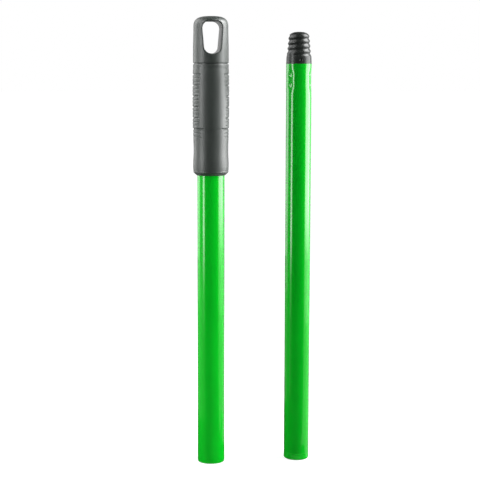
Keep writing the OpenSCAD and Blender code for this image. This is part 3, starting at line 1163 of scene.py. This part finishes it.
@dataclass(frozen=True)
class Softbox:
    """Upright softbox beside the object, aimed level at the axis between the tubes.

    Its bearing is in degrees from the front to the right. Its foot can be dim up to a height and
    then fade in, its upper half can be brighter, and its light can fall off over a share of its
    width towards the sides.
    """

    name: str
    bearing: float
    distance: float
    width: float
    level: float
    foot: float = 0.02
    top: float = 1.3
    in_gloss: bool = True
    dim: float = 1.0
    dim_to: float = 0.0
    fade: float = 0.1
    rise: float = 1.0
    # shares of the height between which it grows brighter
    rise_over: Numbers = (0.42, 0.66)
    soft: float = 0.01

    def build(self, middle: Vector) -> None:
        """Hang the softbox; its power is pi times its area times the level that it shows.

        Args:
            middle: point that it faces, on the floor.
        """
        lamp = bpy.data.lights.new(self.name, "AREA")
        lamp.shape = "RECTANGLE"
        lamp.size = self.width
        lamp.size_y = self.top - self.foot
        lamp.energy = math.pi * lamp.size * lamp.size_y * self.level
        self.grade(lamp)
        light = put(self.name, lamp)
        bearing = math.radians(self.bearing)
        away = Vector((math.sin(bearing), -math.cos(bearing), 0))
        light.location = middle + away * self.distance + Vector((0, 0, (self.top + self.foot) / 2))
        light.rotation_euler = (-away).to_track_quat("-Z", "Y").to_euler()
        light.visible_glossy = self.in_gloss

    def grade(self, lamp: bpy.types.AreaLight) -> None:
        """Grade the light over the softbox: its foot, its upper half and its sides.

        Args:
            lamp: lamp of the softbox.
        """
        lamp.use_nodes = True
        nodes = Nodes(lamp.node_tree)
        place = nodes.add("NewGeometry", {}).outputs["Parametric"]
        across, up = nodes.add("SeparateXYZ", {0: place}).outputs[:2]
        fade = [(z - self.foot) / lamp.size_y for z in (self.dim_to, self.dim_to + self.fade)]
        foot = nodes.spread(up, fade, (self.dim, 1.0))
        head = nodes.spread(up, self.rise_over, (1.0, self.rise))
        aside = nodes.maths("ABSOLUTE", nodes.maths("SUBTRACT", across, 0.5))
        edge = (1 - self.soft) / 2, 0.5
        side = nodes.spread(aside, edge, (1.0, 0.0), interpolation_type="SMOOTHSTEP")
        strength = nodes.maths("MULTIPLY", nodes.maths("MULTIPLY", foot, head), side)
        nodes.feed(lamp.node_tree.nodes["Emission"], {"Strength": strength})


@dataclass(frozen=True)
class Card:
    """Card of the studio that only reflections see, along an arc about the object.

    It runs between two bearings, in degrees, from its near foot to its far top: a wall where both
    are as far away, and a floor or ceiling where both are as high.
    """

    name: str
    colour: str
    bearings: Numbers
    near: float
    far: float
    foot: float
    top: float
    shift_x: float = 0.0
    columns: int = 49

    def build(self, middle: Vector) -> None:
        """Set the card up.

        Args:
            middle: point on the floor that the arc's centre is shifted from.
        """
        bearing = np.radians(np.linspace(*self.bearings, self.columns))
        reach = np.array([self.near, self.far])[:, None]
        x = middle.x + self.shift_x + reach * np.sin(bearing)
        y = middle.y - reach * np.cos(bearing)
        z = np.array([self.foot, self.top])[:, None] + 0 * bearing
        shell = Shell().add(np.stack([x, y, z], axis=-1), wrap_columns=False)
        card = put(self.name, shell.mesh(self.name))
        card.data.materials.append(self.glow())
        for ray in ("camera", "diffuse", "transmission", "volume_scatter", "shadow"):
            setattr(card, "visible_" + ray, False)

    def glow(self) -> bpy.types.Material:
        """Material that shows the card's colour, whatever light falls on it.

        Returns:
            The material, which has no gloss.
        """
        made = bpy.data.materials.new(self.name)
        made.use_nodes = True
        Nodes(made.node_tree).feed(made.node_tree.nodes["Principled BSDF"], {
            "Base Color": BLACK,
            "Specular IOR Level": 0.0,
            "Emission Color": linear(self.colour),
            "Emission Strength": 1.0,
        })
        return made


@dataclass
class Studio:
    """White studio: pale floor, white surround, softboxes, cards for the gloss, and the camera."""

    fill: float = 0.25
    floor_colour: str = "#b4b4b4"
    floor_rough: float = 0.9
    floor_half: float = 30.0
    floor_drop: float = 0.2 * MM
    # distances from the object over which the floor's own glow grows, and the glow there
    glow_over: Numbers = (0.12, 0.6)
    glow: Numbers = (0.72, 0.95)
    # the cards' walls and ceiling, the radii of two small ones, and how far those on the floor lie over it
    wall_away: float = 1.4
    wall_top: float = 1.3
    ceiling: float = 1.35
    near_card: float = 0.2
    head_card: float = 45 * MM
    card_lift: float = 0.6 * MM
    card_gap: float = 0.1 * MM
    # the camera stands a little left of the front and looks slightly down
    camera_at: Numbers = (-0.139657, -1.182177, 0.350859)
    camera_to: Numbers = (0.005496, 0.0, 0.204616)
    lens_mm: float = 99.49
    image_px: float = 480.0
    middle_px: float = 217.0

    def middle(self) -> Vector:
        """Point on the floor between the two tubes."""
        low, high = CAD_BOX
        return Vector(((low.x + high.x) / 2, 0, 0))

    def seen_directly(self, nodes: Nodes) -> Socket:
        """Share of a ray that is seen by the camera, in a gloss or through glass, 0 or 1.

        Args:
            nodes: node tree of what is seen.

        Returns:
            The share.
        """
        path = nodes.add("LightPath", {}).outputs
        gloss = nodes.maths("MAXIMUM", path["Is Glossy Ray"], path["Is Transmission Ray"])
        return nodes.maths("MAXIMUM", path["Is Camera Ray"], gloss)

    def build_surround(self) -> None:
        """World: white where it is seen, and a plain fill for everything that it lights."""
        world = bpy.data.worlds.new("white_surround")
        world.use_nodes = True
        bpy.context.scene.world = world
        nodes = Nodes(world.node_tree)
        level = nodes.spread(self.seen_directly(nodes), (0.0, 1.0), (self.fill, 1.0))
        nodes.feed(world.node_tree.nodes["Background"], {"Color": WHITE, "Strength": level})

    def build_floor(self) -> None:
        """Floor: matt white that keeps the shadow near the object and runs out to pure white."""
        material = bpy.data.materials.new("white_paper")
        material.use_nodes = True
        nodes = Nodes(material.node_tree)
        ends = {0: nodes.place(), 1: tuple(self.middle())}
        away = nodes.add("VectorMath", ends, operation="DISTANCE").outputs["Value"]
        glow = nodes.spread(away, self.glow_over, self.glow)
        nodes.feed(material.node_tree.nodes["Principled BSDF"], {
            "Base Color": linear(self.floor_colour),
            "Roughness": self.floor_rough,
            "Specular IOR Level": 0.0,
            "Emission Color": WHITE,
            "Emission Strength": nodes.maths("MULTIPLY", glow, self.seen_directly(nodes)),
        })
        h = self.floor_half
        corners = np.array([[[-h, -h], [h, -h]], [[-h, h], [h, h]]])
        grid = np.concatenate([corners, np.full((2, 2, 1), -self.floor_drop)], axis=-1)
        shell = Shell().add(grid, wrap_columns=False)
        floor = put("paper_floor", shell.mesh("paper_floor"))
        floor.data.materials.append(material)

    def softboxes(self) -> list[Softbox]:
        """Softboxes for the highlights on both sides, then a key and two low fills that give none."""
        return [
            Softbox("right_softbox", 86, 0.62, 0.74, 6.3,
                    dim=0.13, dim_to=0.11, fade=0.07, rise=2.2, soft=0.45),
            Softbox("left_strip", -71.5, 0.6, 0.25, 7.0, dim=0.05, dim_to=0.07, fade=0.08, soft=0.9),
            Softbox("back_left_softbox", -128, 0.8, 0.5, 1.4, dim=0.3, dim_to=0.11, fade=0.12, rise=2.0),
            Softbox("high_left_softbox", -95, 0.62, 0.36, 1.8, foot=0.66),
            Softbox("front_key", 70, 1.0, 0.8, 2.9, foot=0.05, top=1.4, in_gloss=False),
            Softbox("low_left_fill", -105, 0.6, 0.5, 4.2, top=0.3, in_gloss=False),
            Softbox("low_right_fill", 100, 0.6, 0.5, 3.2, top=0.3, in_gloss=False),
        ]

    def cards(self) -> list[Card]:
        """Cards for the gloss: dark ones in front, above and on the left, pale ones on the right.

        Returns:
            The walls, the ceiling and the floors, which lie just over the paper.
        """
        far = self.wall_away
        near = self.near_card
        wall = far, far, 0.0, self.wall_top
        floor = self.card_lift, self.card_lift
        over = self.card_lift + self.card_gap
        head_x = Place.of("head_coating").axis_x - self.middle().x
        return [
            Card("front_card", "#050505", Sector.FRONT.value, *wall),
            Card("left_card", "#101010", (-114, -77), *wall),
            Card("top_card", "#0c0c0c", (0, 360), 0.0, far, self.ceiling, self.ceiling),
            Card("front_floor_card", "#050505", Sector.FRONT.value, 0.0, far, *floor),
            Card("head_floor_card", "#0a0a0a", (-150, 62), 0.0, self.head_card, over, over, head_x),
            Card("near_floor_card", "#303030", Sector.BACK.value, 0.0, near, *floor),
            Card("right_floor_card", "#c4c4c4", Sector.RIGHT.value, 0.0, far, *floor),
            Card("back_floor_card", "#808080", Sector.BACK.value, near, far, *floor),
            Card("right_card", "#d0d0d0", (110, 158), *wall),
            Card("back_card", "#585858", (158, 178), *wall),
            Card("back_left_card", "#585858", (198, 214), *wall),
        ]

    def build_camera(self) -> None:
        """Camera at the picture's place, with its middle shifted as the picture's is."""
        view = bpy.data.cameras.new("camera")
        view.lens = self.lens_mm
        view.shift_x = (self.image_px / 2 - self.middle_px) / self.image_px
        camera = put("camera", view)
        camera.location = self.camera_at
        towards = Vector(self.camera_to) - Vector(self.camera_at)
        camera.rotation_euler = towards.to_track_quat("-Z", "Y").to_euler()
        bpy.context.scene.camera = camera

    def build(self) -> None:
        """Set up the whole studio."""
        bpy.context.scene.view_settings.view_transform = "Standard"
        self.build_surround()
        self.build_floor()
        for light in (*self.softboxes(), *self.cards()):
            light.build(self.middle())
        self.build_camera()


def main() -> None:
    """Build the studio and then each sub-assembly, from the handle to the lock."""
    logging.basicConfig(level=logging.INFO, format="%(name)s: %(message)s")
    stakes = Stakes()
    Studio().build()
    HandleTube().dress()
    GripSleeve().dress()
    HangingCap().dress()
    HeadTube(stakes).dress()
    ScrewTip(stakes).dress()
    TwistLock().dress()


if __name__ == "__main__":
    main()
